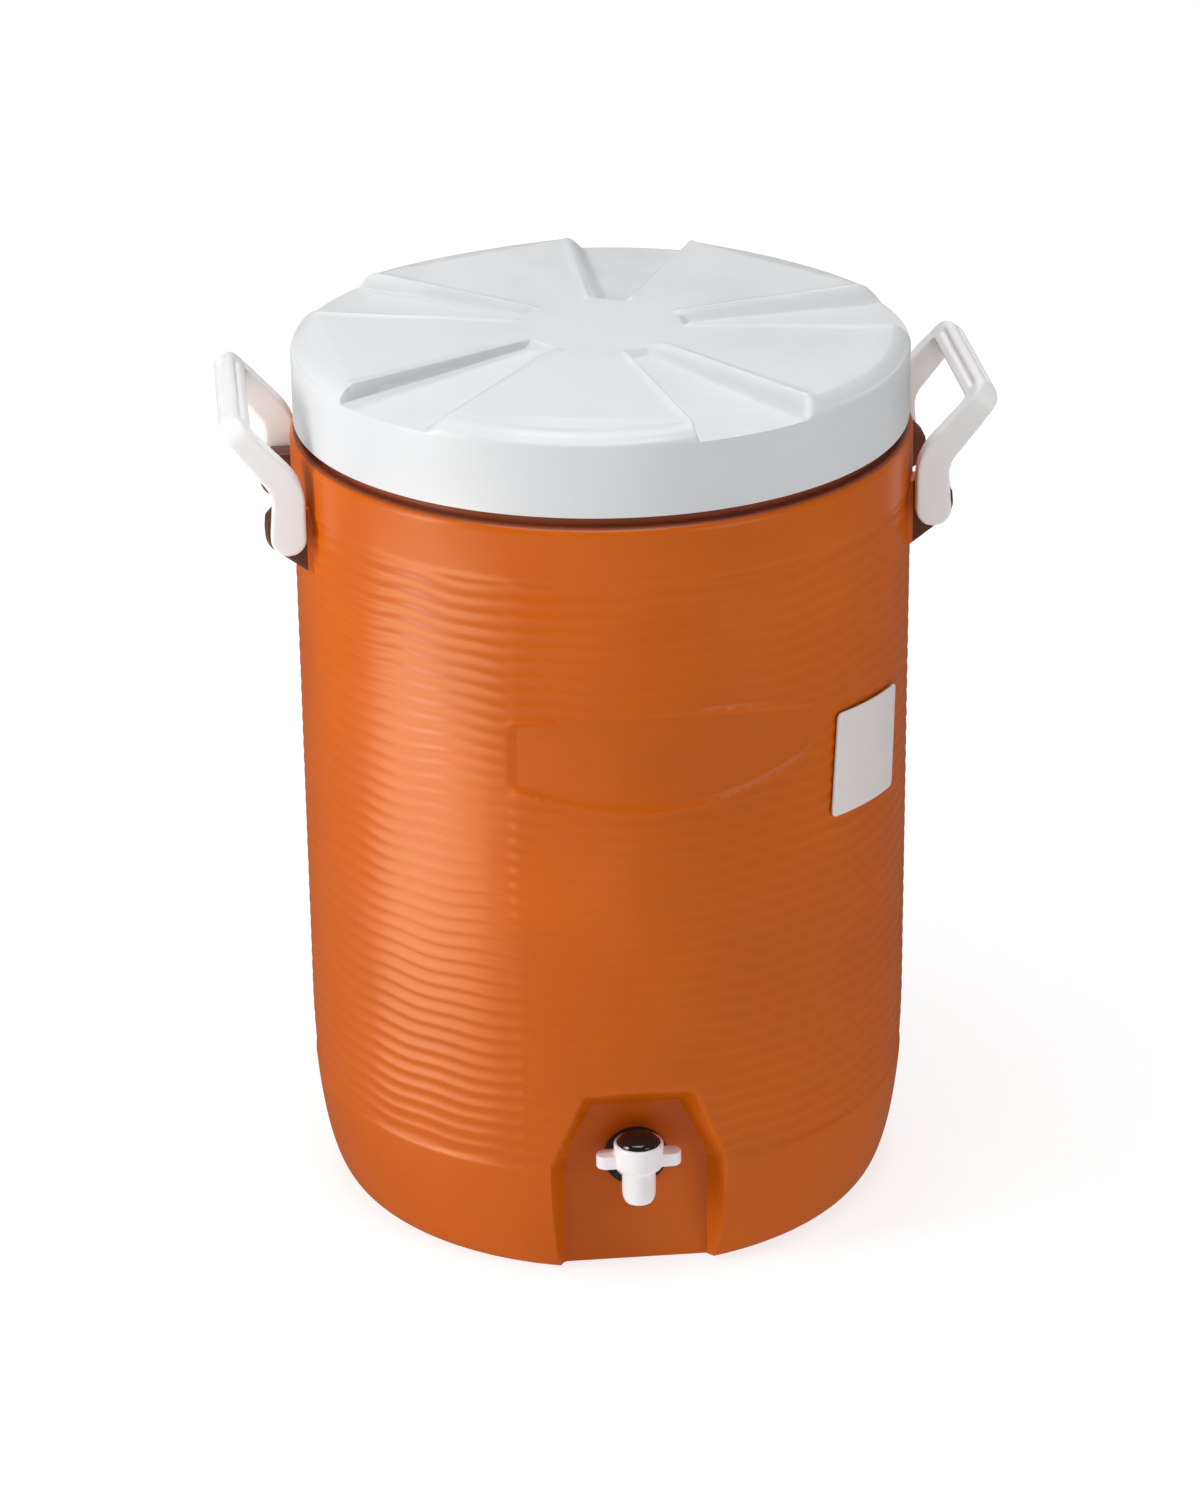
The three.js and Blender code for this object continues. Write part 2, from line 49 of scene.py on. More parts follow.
# ---------------------------------------------------------------- sizes
JUG_RADIUS = 160.0
BASE_RADIUS = 142.0
CURVE_HEIGHT = 102.0
SHELL_WALL = 3.0
SHOULDER_Z = 418.5
SHOULDER_ROUND = 4.0
NECK_RADIUS = 152.0
FOOT_WIDTH = 20.0
FOOT_DEPTH = 3.0
SHELL_TOP = 443.2

SHELL_TOP_INNER = 5.0  # from the ledge down to where the wall's inside begins
LEDGE_SHADE_HEIGHT = 417.6  # painted shade: the shell is painted dark brown above this, for the shadowed ledge and neck in the gap under the lid
LUG_SHADE_REACH = 161.8  # painted shade: and the shell is painted dark brown further out than this, for the lugs shaded by the handle legs

STEP_Z = 63.5  # ledge where the rippled wall begins
STEP_ROUND = 1.6
STEP_INSET = 1.3
RIPPLE_TOP = 388.0
RIPPLE_FADE = 4.0
RIPPLE_PITCH = 8.1
RIPPLE_HEIGHT = 1.25
RIPPLE_CALM = 0.45  # share of that height which the ripples have everywhere
RIPPLE_PEAK = -40.0  # direction in which they are highest
RIPPLE_SPREAD = 22.0
CREST_POWER = 1.6  # above 1 the crests are narrower than the troughs

PANEL_MIDDLE = 3.0  # direction
PANEL_HALF = 33.0  # half of its width, in degrees
PANEL_TOP = (320.0, -0.0105)  # height at the middle, and bend per square degree
PANEL_BOTTOM = (268.5, 0.0165)
PANEL_DEPTH = 0.9
PANEL_BEAD = 1.0

RECESS_BACK = 134.0
RECESS_SURFACE = 158.0
RECESS_HALF = (37.5, 48.0)  # half widths at the back and at the surface
RECESS_TOP_HALF = (23.0, 29.0)
RECESS_SHOULDER = (60.0, 69.0)  # heights at the back and at the surface
RECESS_TOP = (93.0, 110.0)
RECESS_FILLET = 3.0
RECESS_EDGE = 2.4
FAR = 1e4  # a radius beyond everything

LINER_RADIUS = 127.0
LINER_WALL = 2.5
LINER_FLOOR = 36.0
LINER_TOP = 446.0

LID_RADIUS = 158.0
LID_BOTTOM = 423.5
LID_INNER = 154.5
LID_SHOULDER = 459.0
LID_RIM = 468.0
LID_ROUND = 10.0
LID_CROWN = 470.0
LID_FLAT = 40.0
LID_WALL = 3.0
PLUG_RADIUS = 125.0  # pan that fills the mouth of the tank
PLUG_BOTTOM = 403.0
PAN_WALL = 2.5
GRIP_COUNT = 5
GRIP_PERIOD = 360.0 / GRIP_COUNT
GRIP_FIRST = 24.0
GRIP_HALF = 12.5
GRIP_INNER = 44.0
GRIP_DEPTH = (4.0, 9.0)  # at the inner end and at the rim
GRIP_SLOPE = 10.0  # width of the sloping side
BEVEL_RADIUS = 146.0  # where the end of a raised sector meets the bevel's start
BEVEL_INSET = 4.0
BEVEL_SLOPE = 0.16
BEVEL_END = 2.0  # the bevel runs out this far from the rim
BEAD_AWAY = 1.8  # from the edge of a grip to the bead beside it
BEAD_WIDTH = 1.5
BEAD_HEIGHT = 0.9

LUG_ROOT = 148.0  # inside the wall
LUG_FOOT = (153.0, 359.0)
LUG_ROUND = 11.5
LUG_SHOULDER = (175.0, 388.0)
LUG_TOP = (169.0, 394.5)
LUG_SIDES = (33.6, 47.6)
LUG_BORE = 6.4
BORE_END = 36.6

PIVOT = (164.0, 381.5)  # x and z of the right handle's hinge
BEND = (163.0, 407.8)
GRIP = (189.4, 438.9)
LEG_HALVES = (9.0, 8.0, 6.5)  # half of the leg's width at the pivot, the bend and the grip
BAR = 6.5  # half of the bow's bar
BAR_CORNER = 5.0
BOW_CORNERS = (12.0, 4.0)  # outside and inside
HANDLE_OUTER = 57.0
HANDLE_INNER = 48.0
PIN_RADIUS = 5.0
PIN_END = 38.0
GROOVE_HALF = 1.5
GROOVE_END = 44.0

PLUG_Y = 70.0
HOLE_RADIUS = 9.4  # for the plug and for the tap's shank
TAP_Y = -150.0
SHANK_Z = 62.0
SHANK_RADIUS = 9.0
HEAD_RADIUS = 12.9
HEAD_TOP = 78.0
CUP_RADIUS = 11.1
CUP_FLOOR = 65.7
SPOUT_RADIUS = 8.75
SPOUT_BOTTOM = 43.0
SPOUT_BORE = 7.0
WING_END = 17.0  # middle of the round end
WING_ROUND = 5.0
WING_HEIGHTS = (65.0, 72.0)
BUTTON_RADIUS = 10.6
BUTTON_DOME = 4.1


# ---------------------------------------------------------------- meshes
def ease(x):
    """Smooth step from 0 to 1."""
    x = np.clip(x, 0.0, 1.0)
    return x * x * (3.0 - 2.0 * x)


def soft_min(a, b, blend):
    """Smaller of two values, rounded where they meet."""
    h = np.clip(0.5 + 0.5 * (b - a) / blend, 0.0, 1.0)
    return b + (a - b) * h - blend * h * (1.0 - h)


def soft_max(a, b, blend):
    return -soft_min(-a, -b, blend)


def make_object(name, points, faces, sharp=35.0):
    """Mesh object from points in millimetres, with its normals turned outwards."""
    mesh = bpy.data.meshes.new(name)
    mesh.from_pydata((np.asarray(points, float) * MM).tolist(), [], faces)
    work = bmesh.new()
    work.from_mesh(mesh)
    bmesh.ops.recalc_face_normals(work, faces=work.faces)
    work.to_mesh(mesh)
    work.free()
    obj = bpy.data.objects.new(name, mesh)
    bpy.context.scene.collection.objects.link(obj)
    smooth(obj, sharp)
    return obj


def smooth(obj, sharp):
    """Smooth shading, with edges steeper than sharp degrees left sharp."""
    mesh = obj.data
    mesh.polygons.foreach_set("use_smooth", [True] * len(mesh.polygons))
    mesh.set_sharp_from_angle(angle=math.radians(sharp))
    mesh.update()


def finish_piece(obj, body, material, slot, *nodes):
    """Gives a piece its material and body, and hides the CAD nodes that it stands for. slot is not used."""
    obj.data.materials.clear()
    obj.data.materials.append(material)
    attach(obj, body)
    if nodes:
        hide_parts(*nodes)


def ring_mesh(name, grid, sharp, closed=False):
    """Surface through grid[row, column], which wraps round its columns.
    A row whose points all meet becomes one point. closed joins the last row to the first."""
    points, ids = [], []
    for row in grid:
        if np.ptp(row, axis=0).max() < 1e-6:
            ids.append([len(points)] * len(row))
            points.append(row[0])
        else:
            ids.append(list(range(len(points), len(points) + len(row))))
            points.extend(row)
    faces = []
    count = len(grid)
    columns = grid.shape[1]
    for r in range(count if closed else count - 1):
        low, high = ids[r], ids[(r + 1) % count]
        for c in range(columns):
            d = (c + 1) % columns
            corners = [low[c], low[d], high[d], high[c]]
            face = [v for i, v in enumerate(corners) if v != corners[i - 1]]
            if len(face) > 2:
                faces.append(face)
    return make_object(name, points, faces, sharp)


def wrap(name, rows, direction):
    """Surface through rows of (radius, height), with a value of each for every direction."""
    grid = np.array(
        [np.stack([r * np.sin(direction), -r * np.cos(direction), z], axis=1) for r, z in rows]
    )
    return ring_mesh(name, grid, 50.0)


def fillet(points, radii, steps=5):
    """Polyline whose corners between its ends are rounded. radii is one radius, or one for each point."""
    if not hasattr(radii, "__len__"):
        radii = [radii] * len(points)
    out = [points[0]]
    for i in range(1, len(points) - 1):
        before, here, after = (Vector(points[i + k]) for k in (-1, 0, 1))
        into, away = here - before, after - here
        reach = min(radii[i], 0.48 * into.length, 0.48 * away.length)
        start, end = here - into.normalized() * reach, here + away.normalized() * reach
        for k in range(steps + 1):
            t = k / steps
            out.append(tuple(start.lerp(here, t).lerp(here.lerp(end, t), t)))
    out.append(points[-1])
    return out


def lathe(name, profile, segments, centre=(0.0, 0.0), closed=False, sharp=35.0):
    """Solid of revolution about Z from (radius, z) points."""
    turn = np.linspace(0, 2 * math.pi, segments, endpoint=False)
    grid = np.array(
        [
            [(centre[0] + r * math.cos(a), centre[1] + r * math.sin(a), z) for a in turn]
            for r, z in profile
        ]
    )
    return ring_mesh(name, grid, sharp, closed)


def lying_lathe(name, profile, closed=False):
    """Solid of revolution about the tap's shank from (radius, y) points."""
    obj = lathe(name, [(r, -y) for r, y in profile], 64, closed=closed)
    turn = Matrix.Rotation(math.pi / 2, 4, "X")
    obj.data.transform(Matrix.Translation((0, 0, SHANK_Z * MM)) @ turn)
    return obj


def rod(radius, low, high):
    """Profile of a plain cylinder."""
    return [(0, low), (radius, low), (radius, high), (0, high)]


def slab(name, outline, low, high, place):
    """Outline pushed from low to high. place turns (u, v, w) into (x, y, z)."""
    count = len(outline)
    points = [place(u, v, w) for w in (low, high) for u, v in outline]
    faces = [list(range(count)), list(range(count, 2 * count))]
    faces += [[i, (i + 1) % count, count + (i + 1) % count, count + i] for i in range(count)]
    return make_object(name, points, faces)


def along_y(u, v, w):
    return (u, w, v)


def along_z(u, v, w):
    return (u, v, w)


def settle(obj):
    """Applies an object's modifiers to its mesh."""
    view = bpy.context.evaluated_depsgraph_get()
    mesh = bpy.data.meshes.new_from_object(obj.evaluated_get(view))
    obj.modifiers.clear()
    obj.data = mesh


def combine(first, others, operation="UNION"):
    """Joins other solids to the first, or cuts them from it, and removes them."""
    for other in others:
        step = first.modifiers.new("combine", "BOOLEAN")
        step.operation = operation
        step.solver = "MANIFOLD"
        step.object = other
        settle(first)
        bpy.data.objects.remove(other)


def soften(obj, voxel, rounds):
    """Rounds every edge of a solid, as a mould does."""
    step = obj.modifiers.new("remesh", "REMESH")
    step.mode = "VOXEL"
    step.voxel_size = voxel * MM
    step.adaptivity = 0.0
    settle(obj)
    step = obj.modifiers.new("smooth", "SMOOTH")
    step.factor = 0.5
    step.iterations = rounds
    settle(obj)
    smooth(obj, 50.0)


# ---------------------------------------------------------------- materials
class Nodes:
    """A material's node tree, with short calls for the nodes used here."""

    def __init__(self, name):
        self.material = bpy.data.materials.new(name)
        self.material.use_nodes = True
        self.tree = self.material.node_tree
        self.shader = self.tree.nodes["Principled BSDF"]
        self.place = self.add("ShaderNodeTexCoord").outputs["Object"]

    def add(self, kind):
        return self.tree.nodes.new(kind)

    def link(self, output, target):
        self.tree.links.new(output, target)

    def noise(self, scale, detail=3.0, stretch=(1.0, 1.0, 1.0)):
        mapping = self.add("ShaderNodeMapping")
        mapping.inputs["Scale"].default_value = stretch
        self.link(self.place, mapping.inputs["Vector"])
        node = self.add("ShaderNodeTexNoise")
        node.inputs["Scale"].default_value = scale
        node.inputs["Detail"].default_value = detail
        self.link(mapping.outputs["Vector"], node.inputs["Vector"])
        return node.outputs["Fac"]

    def cells(self, scale):
        node = self.add("ShaderNodeTexVoronoi")
        node.inputs["Scale"].default_value = scale
        self.link(self.place, node.inputs["Vector"])
        return node.outputs["Distance"]

    def colours(self, factor, stops):
        ramp = self.add("ShaderNodeValToRGB")
        ramp.color_ramp.interpolation = "EASE"
        while len(ramp.color_ramp.elements) < len(stops):
            ramp.color_ramp.elements.new(0.5)
        for element, (position, colour) in zip(ramp.color_ramp.elements, stops):
            element.position = position
            element.color = (*colour, 1.0)
        self.link(factor, ramp.inputs["Fac"])
        self.link(ramp.outputs["Color"], self.shader.inputs["Base Color"])

    def math(self, operation, first, second):
        node = self.add("ShaderNodeMath")
        node.operation = operation
        for target, value in zip(node.inputs, (first, second)):
            if isinstance(value, float):
                target.default_value = value
            else:
                self.link(value, target)
        return node.outputs["Value"]

    def paint_shade(self, height, radius, colour):
        """Paints shade: another, darker colour above a height, or further from the middle than a radius."""
        split = self.add("ShaderNodeSeparateXYZ")
        self.link(self.place, split.inputs["Vector"])
        x, y, z = split.outputs
        squares = self.math("ADD", self.math("MULTIPLY", x, x), self.math("MULTIPLY", y, y))
        away = self.math("SQRT", squares, 0.0)
        above = self.math("GREATER_THAN", z, height * MM)
        beyond = self.math("GREATER_THAN", away, radius * MM)
        mix = self.add("ShaderNodeMix")
        mix.data_type = "RGBA"
        target = self.shader.inputs["Base Color"]
        self.link(self.math("MAXIMUM", above, beyond), mix.inputs["Factor"])
        self.link(target.links[0].from_socket, mix.inputs["A"])
        mix.inputs["B"].default_value = (*colour, 1.0)
        self.link(mix.outputs["Result"], target)

    def roughness(self, factor, low, high):
        node = self.add("ShaderNodeMapRange")
        node.interpolation_type = "SMOOTHSTEP"
        node.inputs["From Min"].default_value = 0.3
        node.inputs["From Max"].default_value = 0.7
        node.inputs["To Min"].default_value = low
        node.inputs["To Max"].default_value = high
        self.link(factor, node.inputs["Value"])
        self.link(node.outputs["Result"], self.shader.inputs["Roughness"])

    def bump(self, factor, strength, distance):
        node = self.add("ShaderNodeBump")
        node.inputs["Strength"].default_value = strength
        node.inputs["Distance"].default_value = distance * MM
        self.link(factor, node.inputs["Height"])
        self.link(node.outputs["Normal"], self.shader.inputs["Normal"])


def moulded_plastic(name, dark, middle, light, gloss, grain):
    """Moulded plastic: cloudy colour, uneven sheen and a fine pebbled skin."""
    nodes = Nodes(name)
    nodes.colours(nodes.noise(9.0, 4.0), [(0.3, dark), (0.5, middle), (0.72, light)])
    nodes.roughness(nodes.noise(38.0, 5.0, (1.0, 1.0, 0.4)), *gloss)
    nodes.bump(nodes.noise(900.0, 2.0), 0.35, grain)
    return nodes.material


def orange_material():
    """Orange plastic, with painted shade: dark brown on the shadowed ledge under the lid and round the lugs
    behind the handle legs.
    """
    nodes = Nodes("orange_shell")
    shades = [(0.3, (0.54, 0.098, 0.001)), (0.5, (0.58, 0.107, 0.001)), (0.72, (0.62, 0.118, 0.002))]
    nodes.colours(nodes.noise(9.0, 3.0), shades)
    # painted shade on the ledge and neck in the shadowed gap under the lid
    nodes.paint_shade(LEDGE_SHADE_HEIGHT, FAR, (0.33, 0.080, 0.032))
    # painted shade on the lugs, where the handle legs shade them
    nodes.paint_shade(FAR, LUG_SHADE_REACH, (0.110, 0.034, 0.018))
    nodes.roughness(nodes.noise(14.0, 2.0), 0.285, 0.34)
    nodes.bump(nodes.noise(900.0, 2.0), 0.15, 0.05)
    nodes.shader.inputs["Specular IOR Level"].default_value = 0.3
    return nodes.material


def rubber_material():
    nodes = Nodes("black_rubber")
    nodes.colours(nodes.noise(120.0, 5.0), [(0.3, (0.015, 0.015, 0.017)), (0.7, (0.034, 0.034, 0.037))])
    nodes.roughness(nodes.noise(300.0, 3.0), 0.62, 0.85)
    nodes.bump(nodes.noise(1400.0, 3.0), 0.5, 0.04)
    return nodes.material


def foam_material():
    nodes = Nodes("foam")
    nodes.colours(nodes.noise(45.0, 6.0), [(0.3, (0.62, 0.48, 0.22)), (0.7, (0.80, 0.68, 0.40))])
    nodes.roughness(nodes.noise(80.0), 0.85, 0.97)
    nodes.bump(nodes.cells(700.0), 0.7, 0.35)
    return nodes.material


def steel_material():
    nodes = Nodes("spring_steel")
    nodes.colours(nodes.noise(400.0, 4.0), [(0.3, (0.42, 0.43, 0.45)), (0.7, (0.66, 0.67, 0.69))])
    nodes.roughness(nodes.noise(900.0), 0.28, 0.38)
    nodes.bump(nodes.noise(2500.0, 2.0), 0.2, 0.01)
    nodes.shader.inputs["Metallic"].default_value = 1.0
    return nodes.material


def floor_material():
    """Pale sheet, lit a little more further out, like the sweep of a light table."""
    nodes = Nodes("floor")
    nodes.colours(nodes.noise(2.0), [(0.3, (0.34, 0.34, 0.34)), (0.7, (0.36, 0.36, 0.36))])
    nodes.roughness(nodes.noise(6.0), 0.85, 0.95)
    nodes.shader.inputs["Specular IOR Level"].default_value = 0.0
    nodes.shader.inputs["Emission Color"].default_value = (1.0, 1.0, 1.0, 1.0)
    length = nodes.add("ShaderNodeVectorMath")
    length.operation = "LENGTH"
    nodes.link(nodes.place, length.inputs[0])
    glow = nodes.add("ShaderNodeMapRange")
    for name, value in (("From Min", 0.4), ("From Max", 2.4), ("To Min", 0.76), ("To Max", 1.0)):
        glow.inputs[name].default_value = value
    nodes.link(length.outputs["Value"], glow.inputs["Value"])
    nodes.link(glow.outputs["Result"], nodes.shader.inputs["Emission Strength"])
    return nodes.material


ORANGE = orange_material()
# painted light and shade: one white plastic in two copies, kept darker on the lid, which the lamps light
# strongly, and lighter on the handles
LID_WHITE_SHADED = moulded_plastic(
    "white_plastic", (0.64, 0.65, 0.66), (0.67, 0.68, 0.69), (0.70, 0.71, 0.715), (0.34, 0.46), 0.04
)
HANDLE_WHITE_LIT = moulded_plastic(
    "handle_white", (0.78, 0.775, 0.77), (0.81, 0.805, 0.80), (0.84, 0.835, 0.83), (0.34, 0.46), 0.04
)
TAP_WHITE = moulded_plastic(
    "tap_white", (0.90, 0.87, 0.88), (0.93, 0.90, 0.91), (0.95, 0.92, 0.93), (0.16, 0.26), 0.012
)
LINER = moulded_plastic(
    "liner_plastic", (0.74, 0.75, 0.73), (0.79, 0.80, 0.78), (0.82, 0.83, 0.81), (0.3, 0.46), 0.03
)
LABEL = moulded_plastic(
    "label_white", (0.72, 0.66, 0.65), (0.76, 0.70, 0.69), (0.79, 0.74, 0.73), (0.3, 0.42), 0.01
)
BLACK = moulded_plastic(
    "black_plastic", (0.008, 0.008, 0.010), (0.012, 0.012, 0.014), (0.02, 0.02, 0.022), (0.05, 0.13), 0.008
)
RUBBER = rubber_material()
FOAM = foam_material()
STEEL = steel_material()


# ---------------------------------------------------------------- jug
def wall_radius(z):
    """Radius of the plain wall at a height."""
    drop = np.clip(1.0 - z / CURVE_HEIGHT, 0.0, 1.0)
    return BASE_RADIUS + (JUG_RADIUS - BASE_RADIUS) * np.sqrt(1.0 - drop**2)


def recess_depth(direction, z):
    """Radius at which a level ray meets the tap recess, with rounded inside corners."""
    across, ahead = np.abs(np.sin(direction)), np.cos(direction)
    run = RECESS_SURFACE - RECESS_BACK
    back = RECESS_BACK / ahead
    # The ray is between the side walls while r * across is at most their half width there.
    slope = (RECESS_HALF[1] - RECESS_HALF[0]) / run
    need = across - slope * ahead
    side = (RECESS_HALF[0] - slope * RECESS_BACK) / np.minimum(need, -1e-6)
    side = np.where(need < 0, side, FAR)
    side = np.where(across * back <= RECESS_HALF[0], 0.0, side)
    climb = (RECESS_TOP[1] - RECESS_TOP[0]) / run
    top = (RECESS_BACK + (z - RECESS_TOP[0]) / climb) / ahead
    slant = corner_depth(across, ahead, z, run)
    inside = soft_max(top, slant, RECESS_FILLET)
    inside = soft_max(side, inside, RECESS_FILLET)
    return soft_max(back, inside, RECESS_FILLET)


def corner_depth(across, ahead, z, run):
    """Radius at which a ray passes the slanted side at the top of the recess."""
    reach = np.linspace(RECESS_BACK, RECESS_SURFACE + 8.0, 24)
    result = np.full(np.broadcast(across, z).shape, FAR)
    for y in reach[::-1]:
        t = (y - RECESS_BACK) / run
        shoulder = RECESS_SHOULDER[0] + (RECESS_SHOULDER[1] - RECESS_SHOULDER[0]) * t
        top = RECESS_TOP[0] + (RECESS_TOP[1] - RECESS_TOP[0]) * t
        half = RECESS_HALF[0] + (RECESS_HALF[1] - RECESS_HALF[0]) * t
        top_half = RECESS_TOP_HALF[0] + (RECESS_TOP_HALF[1] - RECESS_TOP_HALF[0]) * t
        r = y / ahead
        width = half - (half - top_half) * np.clip((z - shoulder) / (top - shoulder), 0.0, None)
        result = np.where(r * across <= width, r, result)
    return result


def waves(direction, z):
    """Wavy level ripples in the wall, from 0 in a trough to 1 on a crest."""
    arc = JUG_RADIUS * direction
    shift = 0.9 * np.sin(arc / 17.0 + z / 41.0) + 0.6 * np.sin(arc / 7.3 - z / 23.0)
    shift += 1.8 * np.sin(3 * direction + z / 60.0) * np.sin(arc / 31.0)
    crest = 0.5 + 0.5 * np.cos(2 * math.pi * (z + shift) / RIPPLE_PITCH)
    return crest**CREST_POWER


def panel(direction, z):
    """Blank arched panel on the front: its inside from 0 to 1, and the bead round its edge."""
    off = np.degrees(direction) - PANEL_MIDDLE
    top, bottom = (height + bend * off**2 for height, bend in (PANEL_TOP, PANEL_BOTTOM))
    side = JUG_RADIUS * np.radians(PANEL_HALF - np.abs(off))
    edge = np.minimum(np.minimum(top - z, z - bottom), side)
    inside = ease(edge / 2.0 + 0.5)
    bead = np.exp(-((edge / 1.6) ** 2))
    return inside, bead


def shell_radius(direction, z):
    """Outer radius of the jug with its step, ripples, panel and recess."""
    plain = wall_radius(z)
    rippled = ease((z - STEP_Z) / STEP_ROUND) * (1.0 - ease((z - RIPPLE_TOP) / RIPPLE_FADE))
    peak = np.exp(-(((np.degrees(direction) - RIPPLE_PEAK) / RIPPLE_SPREAD) ** 2))
    strength = RIPPLE_CALM + (1.0 - RIPPLE_CALM) * peak
    inside, bead = panel(direction, z)
    lift = RIPPLE_HEIGHT * strength * waves(direction, z) * (1.0 - inside)
    wall = plain - rippled * (STEP_INSET - lift + PANEL_DEPTH * inside - PANEL_BEAD * bead)
    front = np.cos(direction) > 0.8  # well past both sides of the recess
    hollow = np.where(front, recess_depth(np.where(front, direction, 0.0), z), FAR)
    return np.where(hollow < FAR / 10, soft_min(wall, hollow, RECESS_EDGE), wall)


def around_jug():
    """Directions of the shell's columns, closer together at the recess."""
    side, fine, coarse = 22.0, 0.35, 1.0
    front = np.arange(-side, side, fine)
    rest = np.arange(side, 360.0 - side, coarse)
    return np.radians(np.concatenate([front, rest]))


def shell_rows(direction):
    """Rows of (radius, height) from the middle of the base, up the outside and down the inside."""
    rows = []
    flat = np.ones_like(direction)

    def row(radius, z):
        rows.append((radius * flat, z * flat))

    row(0.0, FOOT_DEPTH)
    row(BASE_RADIUS - FOOT_WIDTH - FOOT_DEPTH, FOOT_DEPTH)
    row(BASE_RADIUS - FOOT_WIDTH, 0.0)
    base = shell_radius(direction, 0.0 * flat)
    row(base - 2.5, 0.0)
    row(base - 1.0, 0.35)
    recess = np.arange(1.2, 118.0, 1.0)
    ripples = np.arange(118.0, RIPPLE_TOP + 6.0, 1.3)
    plain = np.linspace(396.0, 414.0, 5)
    for z in np.concatenate([recess, ripples, plain]):
        row(shell_radius(direction, z * flat), z)
    for k in range(7):
        t = k / 6 * math.pi / 2
        row(
            JUG_RADIUS - SHOULDER_ROUND * (1 - math.cos(t)),
            SHOULDER_Z - SHOULDER_ROUND * (1 - math.sin(t)),
        )
    row(NECK_RADIUS + 0.6, SHOULDER_Z)
    row(NECK_RADIUS, SHOULDER_Z + 0.6)
    row(NECK_RADIUS, SHELL_TOP)
    row(NECK_RADIUS - SHELL_WALL, SHELL_TOP)
    row(NECK_RADIUS - SHELL_WALL, SHOULDER_Z - SHELL_TOP_INNER)
    for z in np.concatenate([[410.0, 300.0, 200.0], np.arange(120.0, 8.0, -4.0)]):
        outer = shell_radius(direction, z * flat)
        row(np.minimum(outer - 2.0, wall_radius(z) - SHELL_WALL), z)
    row(0.0, FOOT_DEPTH + SHELL_WALL)
    return rows


def circle(centre, radius, count):
    turn = np.linspace(0, 2 * math.pi, count, endpoint=False)
    return [(centre[0] + radius * math.cos(a), centre[1] + radius * math.sin(a)) for a in turn]


def lug(side, front):
    """Plate on the wall that takes one trunnion of a handle."""
    turn = np.radians(np.linspace(-62.0, 3.0, 14))
    outline = [(LUG_ROOT, LUG_FOOT[1]), LUG_FOOT]
    outline += [(PIVOT[0] + LUG_ROUND * math.cos(a), PIVOT[1] + LUG_ROUND * math.sin(a)) for a in turn]
    outline += [LUG_SHOULDER, LUG_TOP, (LUG_ROOT, LUG_TOP[1])]
    inner, outer = LUG_SIDES
    low, high = (-outer, -inner) if front else (inner, outer)
    plate = slab("lug", outline, low, high, along_y)
    step = plate.modifiers.new("edge", "BEVEL")
    step.width = 1.2 * MM
    step.segments = 3
    step.limit_method = "ANGLE"
    settle(plate)
    ends = (-outer - 1.4, -BORE_END) if front else (BORE_END, outer + 1.4)
    bore = slab("bore", circle(PIVOT, LUG_BORE, 32), *ends, along_y)
    combine(plate, [bore], "DIFFERENCE")
    if side < 0:
        plate.data.transform(Matrix.Rotation(math.pi, 4, "Z"))
    return plate


def build_shell():
    direction = around_jug()
    shell = wrap("jug_shell", shell_rows(direction), direction)
    lugs = [lug(side, front) for side in (1, -1) for front in (True, False)]
    combine(shell, lugs)
    foam_hole = lathe("foam_hole", rod(HOLE_RADIUS, -1, 10), 40, (0.0, PLUG_Y))
    shank_hole = lying_lathe("shank_hole", rod(HOLE_RADIUS, -138, -122))
    combine(shell, [foam_hole, shank_hole], "DIFFERENCE")
    smooth(shell, 40.0)
    finish_piece(shell, "jug", ORANGE, "orange_shell", "outer_shell")


def build_liner():
    wall = LINER_RADIUS + LINER_WALL
    profile = [(0.0, LINER_FLOOR - LINER_WALL), (wall, LINER_FLOOR - LINER_WALL)]
    profile += [(wall, LINER_TOP - LINER_WALL), (NECK_RADIUS, LINER_TOP - LINER_WALL)]
    profile += [(NECK_RADIUS, LINER_TOP), (LINER_RADIUS, LINER_TOP)]
    profile += [(LINER_RADIUS, LINER_FLOOR), (0.0, LINER_FLOOR)]
    rounded = fillet(profile, [0, 7.5, 1, 0.5, 0.8, 2.0, 5.0, 0])
    liner = lathe("tank", rounded, 144)
    front = -LINER_RADIUS + 2.5
    combine(liner, [lying_lathe("boss", rod(20, -LINER_RADIUS - 1, front))])
    combine(liner, [lying_lathe("hole", rod(HOLE_RADIUS, -140, front + 1))], "DIFFERENCE")
    smooth(liner, 40.0)
    finish_piece(liner, "jug", LINER, "liner_plastic", "inner_liner")


